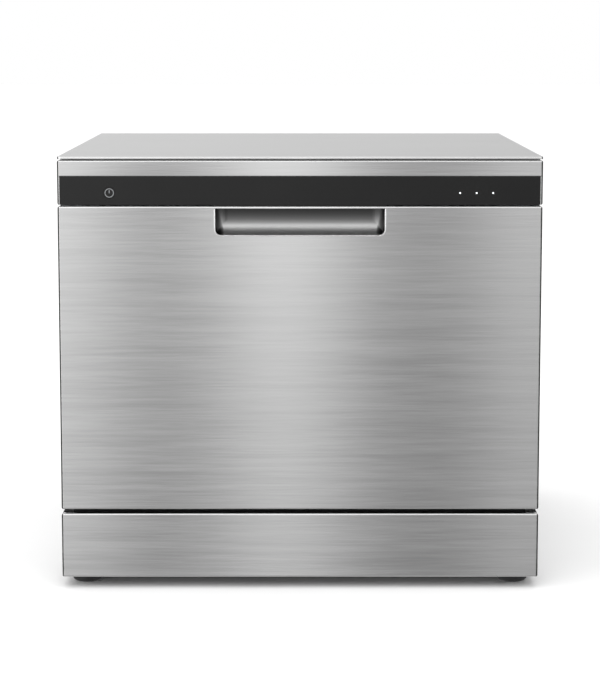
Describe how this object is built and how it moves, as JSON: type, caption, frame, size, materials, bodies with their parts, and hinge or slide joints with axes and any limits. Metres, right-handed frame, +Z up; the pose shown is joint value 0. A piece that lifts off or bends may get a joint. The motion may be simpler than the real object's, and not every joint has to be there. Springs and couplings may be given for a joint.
{
  "type": "countertop dishwasher",
  "caption": "Compact free-standing dishwasher with a drop-down door, steel tub, pull-out rack, spray arm, filter and a machine room under the tub.",
  "frame": {"origin": "on the worktop, under the middle of the casing", "axes": "+Z up, -Y out of the door, +X to the right when facing the door"},
  "size_m": [0.55, 0.5, 0.5],
  "materials": {
    "brushed_stainless": "brushed, satin",
    "tub_stainless": "bright rolled",
    "zinc_steel": "zinc plated",
    "black_plastic": "fine texture",
    "band_gloss": "satin gloss",
    "grip_metallic": "satin",
    "grey_plastic": "satin",
    "white_plastic": "satin",
    "rubber": "matt",
    "felt": "matt",
    "board": "satin",
    "coated_wire": "nylon coated",
    "light_pipe": "frosted"
  },
  "bodies": {
    "cabinet": {"base_pan": "black_plastic", "plinth": "brushed_stainless", "feet": "rubber", "side_panel_left": "brushed_stainless", "side_panel_right": "brushed_stainless", "back_panel": "zinc_steel", "top_cover": "brushed_stainless", "front_crossbar": "zinc_steel", "latch_strike": "zinc_steel", "casing_screws": "zinc_steel", "tub": "tub_stainless", "tub_gasket": "rubber", "sound_blanket": "felt", "hinge_brackets": "zinc_steel", "hinge_pins": "zinc_steel", "hinge_springs": "zinc_steel", "sump": "black_plastic", "filter_plate": "tub_stainless", "spray_hub": "black_plastic", "wash_pump": "black_plastic", "flow_heater": "zinc_steel", "feed_pipe": "black_plastic", "drain_pump": "black_plastic", "drain_pipe": "black_plastic", "connection_tray": "black_plastic", "inlet_valve": "white_plastic", "water_distributor": "white_plastic", "tub_inlet_nut": "grey_plastic", "cord_gland": "black_plastic", "power_board_box": "black_plastic", "float_switch": "white_plastic", "rack_rails": "zinc_steel"},
    "door": {"door_panel": "brushed_stainless", "fascia_bezel": "brushed_stainless", "control_band": "band_gloss", "handle_pocket": "grip_metallic", "door_liner": "tub_stainless", "door_pad": "felt", "door_hinge_leaves": "zinc_steel", "control_housing": "black_plastic", "control_board": "board", "indicator_lights": "light_pipe", "latch_body": "black_plastic", "dispenser_body": "white_plastic"},
    "latch_jaw": {"latch_jaw": "zinc_steel"},
    "power_key": {"power_key": "black_plastic", "power_key_ring": "light_pipe"},
    "detergent_lid": {"detergent_lid": "grey_plastic"},
    "rinse_aid_cap": {"rinse_aid_cap": "grey_plastic"},
    "filter_cylinder": {"filter_cylinder": "grey_plastic"},
    "spray_arm": {"spray_arm": "grey_plastic"},
    "wash_rotor": {"wash_rotor": "white_plastic"},
    "drain_rotor": {"drain_rotor": "white_plastic"},
    "float": {"float": "white_plastic"},
    "rail_slides": {"rail_slides": "zinc_steel"},
    "rack": {"rack_basket": "coated_wire", "rack_runners": "zinc_steel"},
    "folding_tines": {"folding_tines": "coated_wire"},
    "cup_shelf": {"cup_shelf": "coated_wire"},
    "cutlery_basket": {"cutlery_basket": "grey_plastic"}
  },
  "joints": [
    {"name": "door_hinge", "type": "hinge", "parent": "cabinet", "child": "door", "pos_m": [0, -0.238, 0.1068], "axis": [1, 0, 0], "range_deg": [0, 90]},
    {"name": "rack_slide", "type": "slide", "parent": "cabinet", "child": "rack", "axis": [0, -1, 0], "range_m": [0, 0.22]},
    {"name": "rail_slide", "type": "slide", "parent": "cabinet", "child": "rail_slides", "axis": [0, -1, 0], "range_m": [0, 0.11]},
    {"name": "cutlery_basket_lift", "type": "slide", "parent": "rack", "child": "cutlery_basket", "axis": [0, 0, 1], "range_m": [0, 0.1]},
    {"name": "folding_tines_hinge", "type": "hinge", "parent": "rack", "child": "folding_tines", "pos_m": [0, 0.08, 0.19388], "axis": [1, 0, 0], "range_deg": [0, 80]},
    {"name": "cup_shelf_hinge", "type": "hinge", "parent": "rack", "child": "cup_shelf", "pos_m": [-0.2027, 0.02, 0.308], "axis": [0, -1, 0], "range_deg": [0, 85]},
    {"name": "detergent_lid_slide", "type": "slide", "parent": "door", "child": "detergent_lid", "axis": [0, 0, 1], "range_m": [0, 0.038]},
    {"name": "rinse_aid_cap_turn", "type": "hinge", "parent": "door", "child": "rinse_aid_cap", "pos_m": [0.048, -0.203, 0.2908], "axis": [0, 1, 0], "range_deg": [0, 90]},
    {"name": "latch_jaw_pivot", "type": "hinge", "parent": "door", "child": "latch_jaw", "pos_m": [0, -0.234, 0.4785], "axis": [1, 0, 0], "range_deg": [0, 20], "stiffness_Nm_per_rad": 0.05},
    {"name": "power_key_press", "type": "slide", "parent": "door", "child": "power_key", "axis": [0, 1, 0], "range_m": [0, 0.0012], "stiffness_N_per_m": 800},
    {"name": "filter_turn", "type": "hinge", "parent": "cabinet", "child": "filter_cylinder", "pos_m": [0.095, 0.04, 0.128], "axis": [0, 0, 1], "range_deg": [0, 45]},
    {"name": "spray_arm_spin", "type": "hinge", "parent": "cabinet", "child": "spray_arm", "pos_m": [0, -0.005, 0.149], "axis": [0, 0, 1], "continuous": true},
    {"name": "wash_rotor_spin", "type": "hinge", "parent": "cabinet", "child": "wash_rotor", "pos_m": [-0.137, 0.021, 0.085], "axis": [1, 0, 0], "continuous": true},
    {"name": "drain_rotor_spin", "type": "hinge", "parent": "cabinet", "child": "drain_rotor", "pos_m": [0.163, 0.035, 0.077], "axis": [1, 0, 0], "continuous": true},
    {"name": "float_rise", "type": "slide", "parent": "cabinet", "child": "float", "axis": [0, 0, 1], "range_m": [0, 0.008]}
  ],
  "couplings": [
    {"joint": "rack_slide", "follows": "door_hinge", "m_per_rad": 0.14},
    {"joint": "rail_slide", "follows": "door_hinge", "m_per_rad": 0.07}
  ]
}
